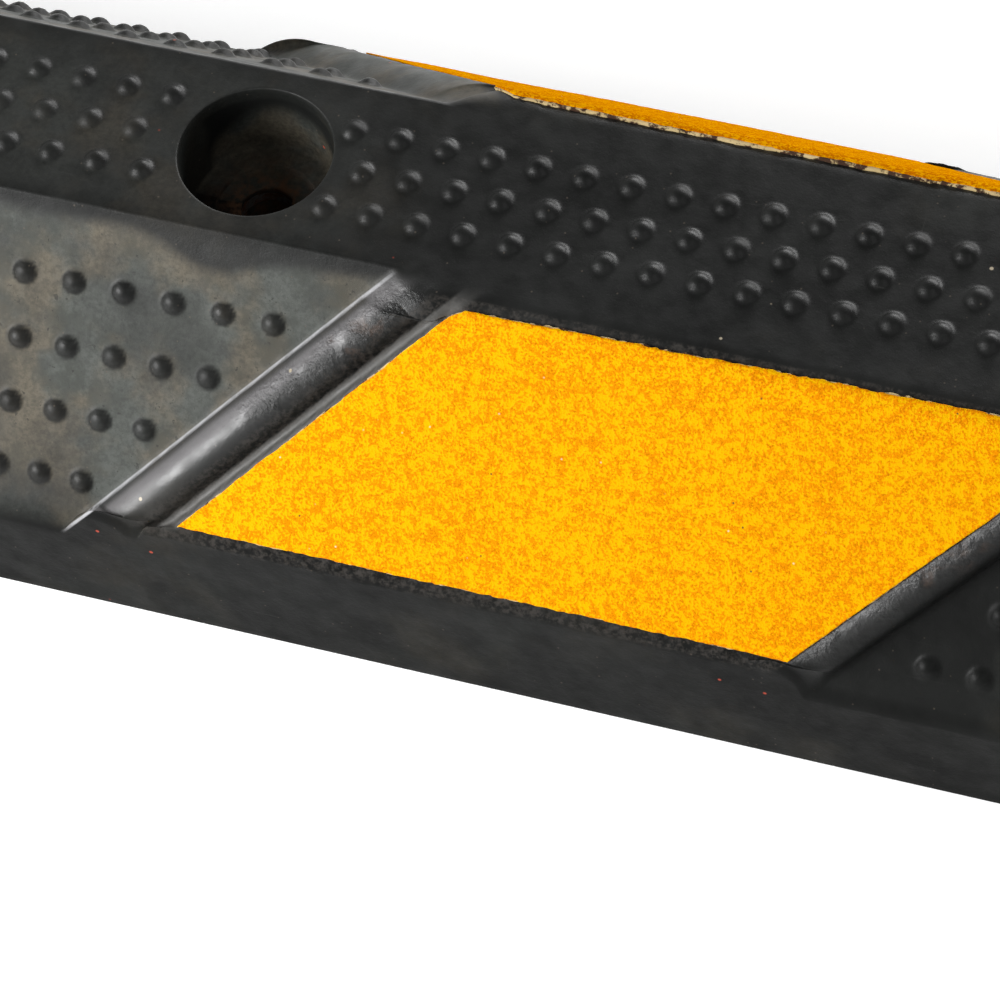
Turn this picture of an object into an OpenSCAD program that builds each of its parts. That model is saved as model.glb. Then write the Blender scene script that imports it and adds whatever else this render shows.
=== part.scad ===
// Kerb-type rubber speed bump (wheel stop) for parking bays and slow lanes.
// One moulded rubber body with bevelled ends, raised pads with round ribs and a
// groove at their edges, studded recessed panels between the pads and studs on the top.
// Two counterbored bolt holes, each with a steel washer moulded in below its
// seat, and a beaded reflective film on a pale backing bonded to each pad.
// Origin: centre of the underside. +X runs along the length, the front slope
// faces -Y, and +Z is up. The rear slope mirrors the front one.

/* [Body] */
// Overall length along X
body_l = 900; // [880:1:960]
// Overall width of the base along Y
body_w = 150; // [146:1:160]
// Height from the ground to the flat top
body_h = 95; // [92:1:100]
// Height of the upright foot below the raised pads
foot_h = 37.5; // [35:0.5:41]
// Width of the top, where the pads' slopes would meet it in a sharp edge
top_w = 61; // [60:0.5:64]
// Horizontal run of the bevel at each end
end_run = 40; // [28:1:46]
// Radius of the shoulder between the top and a pad's slope
shoulder_r = 8; // [4:0.5:9]
// Radius of the edge between a slope and the foot below it
foot_r = 5; // [3:0.5:6]
// Radius of the crisp edge between the top and a recessed panel
recess_edge_r = 1.5; // [1:0.5:3]

/* [Pads and ribs] */
// Depth of the studded panels below the pads, square to the slope
recess = 4.8; // [4:0.1:5.6]
// Distance between the centres of the two pads
pad_pitch = 333; // [326:1:340]
// Pad length from rib crest to rib crest, along X
pad_l = 169.5; // [166:0.5:172]
// Shift of a rib towards -X for each millimetre out from the centre line
slant = 1.5; // [1.4:0.01:1.55]
// Radius of the round bead that forms a rib
rib_r = 6.5; // [6.1:0.1:6.7]
// Height of a rib's crest above its pad
rib_rise = 1.3; // [1:0.1:1.6]
// Distance from a pad's left rib crest to the wall where the pad rises, square to the rib
groove_w = 9.6; // [8:0.1:9.8]
// Depth of the groove between the left rib and the pad, below the pad
groove_depth = 2; // [1:0.1:3.2]

/* [Studs] */
// Radius of a stud where it meets the surface
stud_r = 3.1; // [2.5:0.1:3.4]
// Height of a stud
stud_rise = 1.8; // [1.4:0.1:2.4]
// Spacing of the studs along X on the top
top_stud_pitch = 11.45; // [11:0.05:12]
// Spacing of the stud rows across the top
top_row_pitch = 11.4; // [10.8:0.1:12]
// Distance of the first stud row on a slope from the top edge of its panel
slope_row_start = 19.8; // [18:0.1:20.5]
// Spacing of the stud rows down a slope
slope_row_pitch = 16.4; // [15.6:0.1:16.6]
// Spacing of the studs along X between two pads
slope_stud_pitch = 12.1; // [11.5:0.1:12.6]

/* [Bolt holes] */
// Distance between the two bolt holes
hole_pitch = 531; // [527:1:535]
// Radius of the counterbore at the top
head_r = 18.6; // [18.2:0.1:19]
// Radius of the counterbore at its floor
head_floor_r = 18; // [17.5:0.1:18.2]
// Depth of the counterbore
head_depth = 21.7; // [18:0.1:24]
// Radius of the shallow seat round the bolt
seat_r = 12.2; // [10:0.1:13]
// Depth of the seat below the counterbore's floor
seat_depth = 1; // [0.5:0.1:2]
// Radius of the bolt hole
bolt_r = 7; // [6:0.1:8]

/* [Moulded-in washers] */
// Outer radius of a washer
washer_r = 20; // [16:0.5:22]
// Thickness of a washer
washer_t = 3; // [2:0.5:4]
// Rubber left between the seat and the washer
washer_cover = 3; // [2:0.5:6]

/* [Reflective panels] */
// Length of a panel along X
film_l = 150.5; // [145:0.5:151]
// Distance of a panel's upper edge from the sharp top edge of the pad's slope
film_top = 2; // [2:0.5:8]
// Distance of a panel's lower edge from the same edge
film_bottom = 68.5; // [62:0.5:69]
// Off-centre shift of a panel on its pad, towards +X at the front
film_shift = 4.5; // [0:0.1:4.6]
// Thickness of the pale backing
backing_t = 0.9; // [0.6:0.1:1.1]
// Thickness of the beaded film
film_t = 0.4; // [0.3:0.1:0.6]

/* [Hidden] */

half_l = body_l / 2;
half_w = body_w / 2;
half_top = top_w / 2;
slope_a = atan((body_h - foot_h) / (half_w - half_top));
// The recessed slope runs parallel to the pads' slope, lower and further in
recess_half_top = half_top - recess / sin(slope_a);
recess_foot_h = foot_h - recess / cos(slope_a);
recess_run = half_w - recess_half_top;
// Ribs and pads are placed where they cross the middle of a pad's slope
mid_y = (half_top + half_w) / 2;
rib_a = atan(slant * cos(slope_a));
rib_len = 160;
// A rib stops this far inside the top plane and the foot's upright face
rib_inset = 0.4;
// Stud centre depth that gives the wanted radius and height
stud_ball_r = (stud_r * stud_r + stud_rise * stud_rise) / (2 * stud_rise);
stud_sink = stud_ball_r - stud_rise;
// Free X distance between a rib's crest and the nearest stud on either side
stud_gap_before_rib = 23.7;
stud_gap_after_rib = 17.5;
stud_gap_at_end = 18.1;
// The free distance before a rib shrinks by this much from one row to the next
stud_gap_step = 0.5;
hole_clear = 22;
end_panel_studs = 12;
slope_rows = 4;
top_end_margin = 12;
hole_x = hole_pitch / 2;
head_floor_z = body_h - head_depth;
washer_z = head_floor_z - seat_depth - washer_cover - washer_t;
eps = 0.01;
$fn = 48;

// Distance between a rounded corner and the points where its arc begins
function tangent(r, turn) = r * tan(turn / 2);

// Half cross-section, +Y side: a slope with a rounded top and bottom edge
module half_section(top_y, foot_z, top_r, low_r) {
    turn_top = slope_a;
    turn_low = 90 - slope_a;
    t = tangent(top_r, turn_top);
    f = tangent(low_r, turn_low);
    polygon([
        [-eps, 0],
        [half_w, 0],
        [half_w, foot_z - f],
        [half_w - f * cos(slope_a), foot_z + f * sin(slope_a)],
        [top_y + t * cos(slope_a), body_h - t * sin(slope_a)],
        [top_y - t, body_h],
        [-eps, body_h]
    ]);
    translate([top_y - t, body_h - top_r])
        circle(r = top_r);
    translate([half_w - low_r, foot_z - f])
        circle(r = low_r);
}

// Full cross-section drawn in the YZ plane and extruded along X
module along_x(length) {
    rotate([90, 0, 90])
        translate([0, 0, -length / 2])
            linear_extrude(height = length)
                children();
}

module mirrored_y() {
    children();
    mirror([0, 1, 0])
        children();
}

module recessed_bar() {
    along_x(body_l) {
        half_section(recess_half_top, recess_foot_h, recess_edge_r, foot_r);
        mirror([1, 0, 0])
            half_section(recess_half_top, recess_foot_h, recess_edge_r, foot_r);
    }
}

// Side view of the body: both ends lean in above the foot
module end_bevels() {
    bevel_a = atan((body_h - recess_foot_h) / end_run);
    f = tangent(foot_r, 90 - bevel_a);
    t = tangent(foot_r, bevel_a);
    rotate([90, 0, 0])
        translate([0, 0, -half_w - 1])
            linear_extrude(height = body_w + 2) {
                polygon([
                    [-half_l, 0],
                    [half_l, 0],
                    [half_l, recess_foot_h - f],
                    [half_l - f * cos(bevel_a), recess_foot_h + f * sin(bevel_a)],
                    [half_l - end_run + t * cos(bevel_a), body_h - t * sin(bevel_a)],
                    [half_l - end_run - t, body_h],
                    [-half_l + end_run + t, body_h],
                    [-half_l + end_run - t * cos(bevel_a), body_h - t * sin(bevel_a)],
                    [-half_l + f * cos(bevel_a), recess_foot_h + f * sin(bevel_a)],
                    [-half_l, recess_foot_h - f]
                ]);
                for (side = [-1, 1]) {
                    translate([side * (half_l - end_run - t), body_h - foot_r])
                        circle(r = foot_r);
                    translate([side * (half_l - foot_r), recess_foot_h - f])
                        circle(r = foot_r);
                }
            }
}

// X of a slanted line at a distance y_out from the centre line
function slanted_x(mid_x, y_out) = mid_x - slant * (y_out - mid_y);

// A slanted strip of the front slope between two crest-parallel lines, with its
// surface sunk below the pads' own
module front_strip(x0, x1, sunk) {
    inner = recess_half_top - 4;
    outer = half_w + 1;
    intersection() {
        along_x(body_l)
            mirror([1, 0, 0])
                half_section(half_top - sunk / sin(slope_a), foot_h - sunk / cos(slope_a),
                             shoulder_r, foot_r);
        translate([0, 0, 1])
            linear_extrude(height = body_h)
                polygon([
                    [slanted_x(x0, inner), -inner],
                    [slanted_x(x0, outer), -outer],
                    [slanted_x(x1, outer), -outer],
                    [slanted_x(x1, inner), -inner]
                ]);
    }
}

// One front pad with the shallow groove along its left rib
module front_pad(mid_x) {
    left = mid_x - pad_l / 2;
    wall = left + groove_w / cos(rib_a);
    front_strip(wall, mid_x + pad_l / 2, 0);
    front_strip(left, wall + 1, groove_depth);
}

// Places children on the front pads' slope: X stays, Y runs up the slope from
// its sharp top edge and Z stands square to it
module on_slope() {
    translate([0, -half_top, body_h])
        rotate([slope_a, 0, 0])
            children();
}

// Round bead along one slanted pad edge, cut just inside the top and the foot
module front_rib(mid_x) {
    top_x = slanted_x(mid_x, half_top);
    intersection() {
        on_slope()
            translate([top_x, 0, rib_rise - rib_r])
                rotate([0, 0, -rib_a])
                    rotate([90, 0, 0])
                        translate([0, 0, -rib_len / 4])
                            cylinder(r = rib_r, h = rib_len, $fn = 12);
        translate([-half_l, rib_inset - half_w, 1])
            cube([body_l, half_w, body_h - 1 - rib_inset]);
    }
}

module stud() {
    translate([0, 0, -stud_sink])
        sphere(r = stud_ball_r, $fn = 24);
}

// Three staggered rows along the top, left out around the bolt holes
module top_studs() {
    reach = half_l - end_run - top_end_margin;
    for (row = [-1, 0, 1]) {
        first = -hole_x - 13.5 + (row == 0 ? top_stud_pitch / 2 : 0);
        k_min = ceil((-reach - first) / top_stud_pitch);
        k_max = floor((reach - first) / top_stud_pitch);
        for (k = [k_min : k_max]) {
            x = first + k * top_stud_pitch;
            y = row * top_row_pitch;
            near_hole = min(norm([x - hole_x, y]), norm([x + hole_x, y]));
            if (near_hole > hole_clear)
                translate([x, y, body_h])
                    stud();
        }
    }
}

// A row of count studs from x0 to x1 on the recessed front slope
module slope_stud_row(row, x0, x1, count) {
    down = slope_row_start + row * slope_row_pitch;
    for (k = [0 : count - 1])
        translate([x0 + (x1 - x0) * k / (count - 1),
                   -recess_half_top - down * cos(slope_a),
                   body_h - down * sin(slope_a)])
            rotate([slope_a, 0, 0])
                stud();
}

module front_slope_studs() {
    crest = pad_pitch / 2 + pad_l / 2;
    inner_crest = pad_pitch / 2 - pad_l / 2;
    for (row = [0 : slope_rows - 1]) {
        down = slope_row_start + row * slope_row_pitch;
        y_out = recess_half_top + down * cos(slope_a);
        drop = down * sin(slope_a);
        end_x = half_l - end_run * drop_left(drop) - stud_gap_at_end;
        gap_before_rib = stud_gap_before_rib - row * stud_gap_step;
        left_rib = slanted_x(-crest, y_out) - gap_before_rib;
        right_rib = slanted_x(crest, y_out) + stud_gap_after_rib;
        slope_stud_row(row, -end_x, left_rib, end_panel_studs + 1);
        slope_stud_row(row, right_rib, end_x,
                       round((end_x - right_rib) / slope_stud_pitch) + 1);
        mid_x0 = slanted_x(-inner_crest, y_out) + stud_gap_after_rib;
        mid_x1 = slanted_x(inner_crest, y_out) - gap_before_rib;
        slope_stud_row(row, mid_x0, mid_x1,
                       round((mid_x1 - mid_x0) / slope_stud_pitch) + 1);
    }
}

// Share of the end bevel's run still above a point drop below the top
function drop_left(drop) = 1 - drop / (body_h - recess_foot_h);

module bolt_hole(x) {
    translate([x, 0, head_floor_z])
        cylinder(r1 = head_floor_r, r2 = head_r, h = head_depth + eps);
    translate([x, 0, head_floor_z - seat_depth])
        cylinder(r = seat_r, h = seat_depth + eps);
    translate([x, 0, -1])
        cylinder(r = bolt_r, h = body_h);
}

module washer(x, hole_r) {
    translate([x, 0, washer_z])
        difference() {
            cylinder(r = washer_r, h = washer_t);
            if (hole_r > 0)
                translate([0, 0, -1])
                    cylinder(r = hole_r, h = washer_t + 2);
        }
}

module rubber_body() {
    color([0.16, 0.16, 0.15])
        difference() {
            union() {
                intersection() {
                    recessed_bar();
                    end_bevels();
                }
                mirrored_y()
                    for (side = [-1, 1]) {
                        front_pad(side * pad_pitch / 2);
                        front_rib(side * pad_pitch / 2 - pad_l / 2);
                        front_rib(side * pad_pitch / 2 + pad_l / 2);
                    }
                mirrored_y()
                    front_slope_studs();
                top_studs();
            }
            for (side = [-1, 1]) {
                bolt_hole(side * hole_x);
                washer(side * hole_x, 0);
            }
        }
}

module steel_washer(side) {
    color([0.55, 0.56, 0.57])
        washer(side * hole_x, bolt_r);
}

// Slanted sheet on the front pads' slope, between two heights above the pad
module slope_sheet(mid_x, low, thickness) {
    on_slope()
        translate([0, 0, low])
            linear_extrude(height = thickness)
                polygon([
                    for (corner = [[-1, film_top], [-1, film_bottom],
                                   [1, film_bottom], [1, film_top]])
                        [slanted_x(mid_x + corner[0] * film_l / 2,
                                   half_top + corner[1] * cos(slope_a)),
                         -corner[1]]
                ]);
}

// side: -1 left pad, 1 right pad; rear: true on the rear slope
module film_layer(side, rear, low, thickness) {
    shift = rear ? -film_shift : film_shift;
    mirror([0, rear ? 1 : 0, 0])
        slope_sheet(side * pad_pitch / 2 + shift, low, thickness);
}

module film_backing(side, rear) {
    color([0.86, 0.80, 0.64])
        film_layer(side, rear, 0, backing_t);
}

module reflective_film(side, rear) {
    color([1, 0.74, 0])
        film_layer(side, rear, backing_t, film_t);
}

rubber_body();
steel_washer(-1);  // washer_left
steel_washer(1);  // washer_right
film_backing(-1, false);  // film_backing_front_left
film_backing(1, false);  // film_backing_front_right
film_backing(-1, true);  // film_backing_rear_left
film_backing(1, true);  // film_backing_rear_right
reflective_film(-1, false);  // reflective_film_front_left
reflective_film(1, false);  // reflective_film_front_right
reflective_film(-1, true);  // reflective_film_rear_left
reflective_film(1, true);  // reflective_film_rear_right
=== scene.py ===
"""Looks of a kerb-type rubber speed bump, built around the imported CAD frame.

Lengths here are millimetres, and a mesh is scaled to metres when it is made.
+X runs along the bar, the front slope faces -Y, and +Z is up.
"""
import math

import bpy
import numpy as np
from mathutils import Matrix, Vector


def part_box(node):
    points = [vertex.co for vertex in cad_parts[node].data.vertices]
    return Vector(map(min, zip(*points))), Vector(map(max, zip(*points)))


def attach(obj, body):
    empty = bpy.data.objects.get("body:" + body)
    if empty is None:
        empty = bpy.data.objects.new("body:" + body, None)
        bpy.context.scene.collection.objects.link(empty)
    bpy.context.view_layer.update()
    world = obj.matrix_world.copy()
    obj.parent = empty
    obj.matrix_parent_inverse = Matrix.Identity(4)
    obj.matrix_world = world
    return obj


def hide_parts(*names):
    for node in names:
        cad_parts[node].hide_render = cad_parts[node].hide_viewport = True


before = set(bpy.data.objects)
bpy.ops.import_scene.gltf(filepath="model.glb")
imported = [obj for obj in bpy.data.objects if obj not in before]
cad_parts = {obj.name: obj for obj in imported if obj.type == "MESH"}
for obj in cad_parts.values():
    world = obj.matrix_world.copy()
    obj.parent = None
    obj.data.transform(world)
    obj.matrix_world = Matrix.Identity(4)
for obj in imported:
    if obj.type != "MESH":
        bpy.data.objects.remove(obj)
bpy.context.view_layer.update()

MM = 0.001


def cad_mm(node):
    """Lowest and highest corner of a CAD node, in millimetres."""
    low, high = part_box(node)
    return np.array(low) / MM, np.array(high) / MM


# ---------------------------------------------------------------- dimensions
# Read from the frame where a node's box gives them. The rest repeat part.scad, apart from the
# ribs' height, crests and fillet, the studs' radius and BASE_R, which are this surface's own.
BODY_LOW, BODY_HIGH = cad_mm("rubber_body")
WASHER_LOW, WASHER_HIGH = cad_mm("washer_right")
HALF_L = BODY_HIGH[0]
HALF_W = BODY_HIGH[1]
STUD_RISE = 1.8
TOP = BODY_HIGH[2] - STUD_RISE
HOLE_X = (WASHER_LOW[0] + WASHER_HIGH[0]) / 2
HALF_TOP = 30.5
FOOT = 37.5
RECESS = 4.8
END_RUN = 40.0
SHOULDER_R, RECESS_EDGE_R, FOOT_R, BASE_R = 8.0, 1.5, 5.0, 0.4
PAD_X = 166.5
PAD_L = 169.5
SLANT = 1.5
# Height of a rib over the recessed slope
RIB_HEIGHT = 6.1
# Shift of a rib's crest towards the film
LEFT_CREST, RIGHT_CREST = 1.3, 0.8
GROOVE_W, GROOVE_DEPTH = 9.6, 2.0
# Distance outside a left rib's crest line where its flank meets the studded panel
FILLET_OUT = 5.3
STUD_R = 2.95
TOP_STUD_PITCH, TOP_ROW_PITCH = 11.45, 11.4
SLOPE_ROW_START, SLOPE_ROW_PITCH, SLOPE_STUD_PITCH = 19.8, 16.4, 12.1
GAP_BEFORE_RIB, GAP_STEP, GAP_AFTER_RIB, GAP_AT_END = 23.7, 0.5, 17.5, 18.1
HEAD_R, HEAD_FLOOR_R, HEAD_DEPTH = 18.6, 18.0, 21.7
SEAT_R, SEAT_DEPTH, BOLT_R = 12.2, 1.0, 7.0
FILM_L, FILM_SHIFT, FILM_BOTTOM = 150.5, 4.5, 68.5
BACKING_T, FILM_T = 0.9, 0.4

SLOPE = math.atan((TOP - FOOT) / (HALF_W - HALF_TOP))
SIN, COS = math.sin(SLOPE), math.cos(SLOPE)
RECESS_HALF_TOP = HALF_TOP - RECESS / SIN
RECESS_FOOT = FOOT - RECESS / COS
MID_Y = (HALF_TOP + HALF_W) / 2
RIB_COS = math.cos(math.atan(SLANT * COS))

# Square grid window that each bolt hole's rings are stitched into
WINDOW = 21.5
END_STRETCH = 385.0
EDGE_R = 2.5
FINE, COARSE = 0.65, 1.3
FINE_FROM, FINE_TO = -345.0, -65.0


# --------------------------------------------------------------------- noise
def lattice_noise(points, size, seed):
    """Smooth value noise from 0 to 1 at points, with features about size across."""
    q = points / size + 1000.0
    cell = np.floor(q).astype(np.int64)
    f = q - cell
    f = f * f * (3 - 2 * f)
    total = np.zeros(len(points))
    for corner in range(8):
        step = np.array([corner & 1, corner >> 1 & 1, corner >> 2 & 1])
        c = cell + step
        h = c[:, 0] * 374761393 + c[:, 1] * 668265263 + c[:, 2] * 1442695041 + seed * 974711
        h = (h ^ (h >> 13)) * 1274126177 & 0xFFFFFFFF
        h = (h ^ (h >> 16)) & 0xFFFF
        weight = np.prod(np.where(step, f, 1 - f), axis=1)
        total += weight * h / 65535.0
    return total


def smooth_step(low, high, value):
    t = np.clip((value - low) / (high - low), 0, 1)
    return t * t * (3 - 2 * t)


def softened(profile, reach, blur):
    """A lookup of profile(d) over -reach..reach, blurred so its corners are filleted."""
    d = np.linspace(-reach, reach, 801)
    step = d[1] - d[0]
    k = np.arange(-int(3 * blur / step), int(3 * blur / step) + 1) * step
    kernel = np.exp(-(k / blur) ** 2 / 2)
    values = np.array([profile(v) for v in d])
    padded = np.pad(values, len(k) // 2, mode="edge")
    return d, np.convolve(padded, kernel / kernel.sum(), "valid")


# ------------------------------------------------------------- cross-section
def stretch(a, b, count):
    """count points from a up to, and not including, b."""
    t = np.arange(count)[:, None] / count
    return np.array(a) * (1 - t) + np.array(b) * t


def arc(centre, radius, start, end, count):
    t = start + (end - start) * np.arange(count) / count
    return np.array(centre) + radius * np.stack([np.sin(t), np.cos(t)], 1)


INNER, OUTER, SHOULDER, INCLINE, FOOT_ARC, UPRIGHT, BASE_ARC = 28, 6, 12, 96, 8, 24, 4
UNDER = OUTER + SHOULDER - BASE_ARC
# Between these distances down the slope, a raised row lies square above its recessed one
SQUARE_FROM, SQUARE_TO = 9.0, 73.5
UPPER_ROWS, LOWER_ROWS = 11, 8


def plane_point(s, lifted):
    """A point s down the slope from the recess's top corner, lifted square to the slope."""
    return RECESS_HALF_TOP + s * COS + lifted * SIN, TOP - s * SIN + lifted * COS


def half_profile(top_y, foot_z, shoulder_r, lifted):
    """(distance from the centre line, height) from the top's centre round to the underside's."""
    t = shoulder_r * math.tan(SLOPE / 2)
    f = FOOT_R * math.tan((math.pi / 2 - SLOPE) / 2)
    quarter = math.pi / 2
    upper, lower = plane_point(SQUARE_FROM, lifted), plane_point(SQUARE_TO, lifted)
    return np.concatenate([
        stretch((0, TOP), (WINDOW, TOP), INNER),
        stretch((WINDOW, TOP), (top_y - t, TOP), OUTER),
        arc((top_y - t, TOP - shoulder_r), shoulder_r, 0, SLOPE, SHOULDER),
        stretch((top_y + t * COS, TOP - t * SIN), upper, UPPER_ROWS),
        stretch(upper, lower, INCLINE - UPPER_ROWS - LOWER_ROWS),
        stretch(lower, (HALF_W - f * COS, foot_z + f * SIN), LOWER_ROWS),
        arc((HALF_W - FOOT_R, foot_z - f), FOOT_R, SLOPE, quarter, FOOT_ARC),
        stretch((HALF_W, foot_z - f), (HALF_W, BASE_R), UPRIGHT),
        arc((HALF_W - BASE_R, BASE_R), BASE_R, quarter, 2 * quarter, BASE_ARC),
        stretch((HALF_W - BASE_R, 0), (WINDOW, 0), UNDER),
        stretch((WINDOW, 0), (0, 0), INNER),
        [(0, 0)],
    ])


def ring(half):
    """The closed section: front half first, then the rear half back up to the top."""
    front = np.stack([-half[:, 0], half[:, 1]], 1)
    rear = np.stack([half[:, 0], half[:, 1]], 1)[-2:0:-1]
    return np.concatenate([front, rear])


RECESSED = ring(half_profile(RECESS_HALF_TOP, RECESS_FOOT, RECESS_EDGE_R, 0))
RAISED_HALF = half_profile(HALF_TOP, FOOT, SHOULDER_R, RECESS)
RAISED = ring(RAISED_HALF)
HALF_COUNT = len(RAISED_HALF) - 1
RING = len(RAISED)


def end_x(z):
    """Half length at a height: upright foot, then the end's bevel, softly joined."""
    over = (z - RECESS_FOOT) / (TOP - RECESS_FOOT)
    soft = 0.03
    return HALF_L - END_RUN * soft * np.logaddexp(0, over / soft)


# ------------------------------------------------------- pads, ribs and studs
def slanted_x(mid_x, y_out):
    return mid_x - SLANT * (y_out - MID_Y)


def inside_pad(x, y_out):
    """Distance inside the nearest pad's rib crests, square to the rib, and from its left crest."""
    best = np.full(np.shape(x), -1e3)
    left = np.full(np.shape(x), -1e3)
    for mid in (-PAD_X, PAD_X):
        from_left = (x - slanted_x(mid - PAD_L / 2, y_out)) * RIB_COS
        from_right = (slanted_x(mid + PAD_L / 2, y_out) - x) * RIB_COS
        nearer = np.minimum(from_left, from_right)
        left = np.where(nearer > best, from_left, left)
        best = np.maximum(best, nearer)
    return best, left


def rib_height(d, centre, outer, inner, wall, groove, roundness):
    """Height above the recessed floor at a distance inside the rib's crest line."""
    floor = 0.0 if d < centre else RECESS if d > wall else RECESS - groove
    across = (d - centre) / (outer if d < centre else inner)
    bead = RIB_HEIGHT * max(1 - across ** 2, 0) ** (roundness if d < centre else 0.5)
    return max(floor, bead)


def rib_table(centre, outer, inner, wall, groove, roundness=0.5):
    return softened(lambda d: rib_height(d, centre, outer, inner, wall, groove, roundness), 16, 0.3)


# Crest shift, outer and inner half width, distance to the pad, depth beside the pad
LEFT_RIB = rib_table(LEFT_CREST, 6.9, 6.4, GROOVE_W, GROOVE_DEPTH, 0.9)
LEFT_RIB_TOP = rib_table(LEFT_CREST, 6.9, 6.4, GROOVE_W, 0, 0.9)
LEFT_RIB_REAR = rib_table(3.8, 11.5, 6.5, 8.0, 0.4, 1.1)
RIGHT_RIB = rib_table(RIGHT_CREST, 6.4, 6.4, 3.6, 0)


def pad_lift(inside, from_left, y):
    """Share of the way from the recessed section to the raised one."""
    on_top = smooth_step(HALF_TOP + 5, HALF_TOP, np.abs(y))
    left = (1 - on_top) * np.interp(inside, *LEFT_RIB) + on_top * np.interp(inside, *LEFT_RIB_TOP)
    left = np.where(y < 0, left, np.interp(inside, *LEFT_RIB_REAR))
    right = np.interp(inside, *RIGHT_RIB)
    return np.where(from_left < PAD_L / 2 * RIB_COS, left, right) / RECESS


def stud_height(rho):
    ball = (STUD_R ** 2 + STUD_RISE ** 2) / (2 * STUD_RISE)
    rho = abs(rho)
    return math.sqrt(ball ** 2 - rho ** 2) - (ball - STUD_RISE) if rho < STUD_R else 0.0


STUD_TABLE = softened(stud_height, 5, 0.15)


def top_stud_places():
    reach = HALF_L - END_RUN - 12
    for row in (-1, 0, 1):
        first = -HOLE_X - 13.5 + (TOP_STUD_PITCH / 2 if row == 0 else 0)
        k_min = math.ceil((-reach - first) / TOP_STUD_PITCH)
        k_max = math.floor((reach - first) / TOP_STUD_PITCH)
        for k in range(k_min, k_max + 1):
            x, y = first + k * TOP_STUD_PITCH, row * TOP_ROW_PITCH
            if math.hypot(abs(x) - HOLE_X, y) > 22:
                yield (x, y, TOP), (0, 0, 1)


def slope_stud_places():
    crest, inner = PAD_X + PAD_L / 2, PAD_X - PAD_L / 2
    for row in range(4):
        down = SLOPE_ROW_START + row * SLOPE_ROW_PITCH
        y_out, z = RECESS_HALF_TOP + down * COS, TOP - down * SIN
        share = 1 - down * SIN / (TOP - RECESS_FOOT)
        end = HALF_L - END_RUN * share - GAP_AT_END
        before_rib = GAP_BEFORE_RIB - row * GAP_STEP
        spans = [
            (-end, slanted_x(-crest, y_out) - before_rib, 12),
            (slanted_x(-inner, y_out) + GAP_AFTER_RIB,
             slanted_x(inner, y_out) - before_rib, None),
            (slanted_x(crest, y_out) + GAP_AFTER_RIB, end, None),
        ]
        for x0, x1, steps in spans:
            steps = steps or int((x1 - x0) / SLOPE_STUD_PITCH + 0.5)
            for k in range(steps + 1):
                for side in (-1, 1):
                    x = x0 + (x1 - x0) * k / steps
                    yield (x, side * y_out, z), (0, side * SIN, COS)


# ------------------------------------------------------------ the body's grid
def column_positions():
    """X of each grid column: finer where the first hole and pad are, coarser elsewhere."""
    stops = [-END_STRETCH, FINE_FROM, -HOLE_X - WINDOW, -HOLE_X + WINDOW, FINE_TO,
             HOLE_X - WINDOW, HOLE_X + WINDOW, END_STRETCH]
    xs = [np.linspace(-HALF_L, -END_STRETCH, 44)[:-1]]
    for a, b in zip(stops, stops[1:]):
        step = FINE if FINE_FROM - 1 <= a and b <= FINE_TO + 1 else COARSE
        xs.append(np.linspace(a, b, int(round((b - a) / step)) + 1)[:-1])
    xs.append(np.linspace(END_STRETCH, HALF_L, 44))
    return np.concatenate(xs)


def lateral_grid(xs):
    """Grid of points (column, ring) over the bar's sides, plus the rounded edge rings at both ends."""
    y_above = RECESSED[:, 0] + np.sign(RECESSED[:, 0]) * RECESS * SIN
    gx = np.repeat(xs[:, None], RING, 1)
    lift = pad_lift(*inside_pad(gx, np.abs(y_above)[None, :]), y_above[None, :])
    y = RECESSED[:, 0] + lift * (RAISED[:, 0] - RECESSED[:, 0])
    z = RECESSED[:, 1] + lift * (RAISED[:, 1] - RECESSED[:, 1])
    limit = end_x(RECESSED[:, 1])[None, :] - EDGE_R
    past = np.abs(gx) - END_STRETCH
    squeezed = END_STRETCH + past / (HALF_L - END_STRETCH) * (limit - END_STRETCH)
    gx = np.where(past > 0, np.sign(gx) * squeezed, gx)
    grid = np.stack([gx, y, z], 2)
    caps = {}
    for side in (-1, 1):
        rings = []
        for k in range(1, 7):
            turn = k / 6 * math.pi / 2
            inset = EDGE_R * (1 - math.cos(turn))
            sy = RECESSED[:, 0] * (1 - inset / HALF_W)
            sz = TOP / 2 + (RECESSED[:, 1] - TOP / 2) * (1 - inset / (TOP / 2))
            sx = end_x(sz) - EDGE_R * (1 - math.sin(turn))
            rings.append(np.stack([side * sx, sy, sz], 1))
        caps[side] = np.array(rings)
    return np.concatenate([caps[-1][::-1], grid, caps[1]])


class Builder:
    """Collects vertices and quads, and hands back the indices of each block of vertices it adds."""

    def __init__(self):
        self.points, self.quads, self.count = [], [], 0

    def add(self, points):
        points = np.asarray(points, float).reshape(-1, 3)
        start = self.count
        self.points.append(points)
        self.count += len(points)
        return start + np.arange(len(points))

    def strip(self, a, b, closed=True):
        """Quads between two index loops of the same length."""
        n = len(a) if closed else len(a) - 1
        i = np.arange(n)
        j = (i + 1) % len(a)
        self.quads.append(np.stack([a[i], a[j], b[j], b[i]], 1))

    def sheet(self, ids):
        """Quads over a rectangular array of indices."""
        self.quads.append(np.stack([ids[:-1, :-1], ids[1:, :-1], ids[1:, 1:], ids[:-1, 1:]],
                                   -1).reshape(-1, 4))

    def finish(self):
        """All points and outward-facing quads, without the points that no quad uses."""
        points, quads = np.concatenate(self.points), np.concatenate(self.quads)[:, ::-1]
        used, compact = np.unique(quads, return_inverse=True)
        return points[used], compact.reshape(quads.shape)


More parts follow.
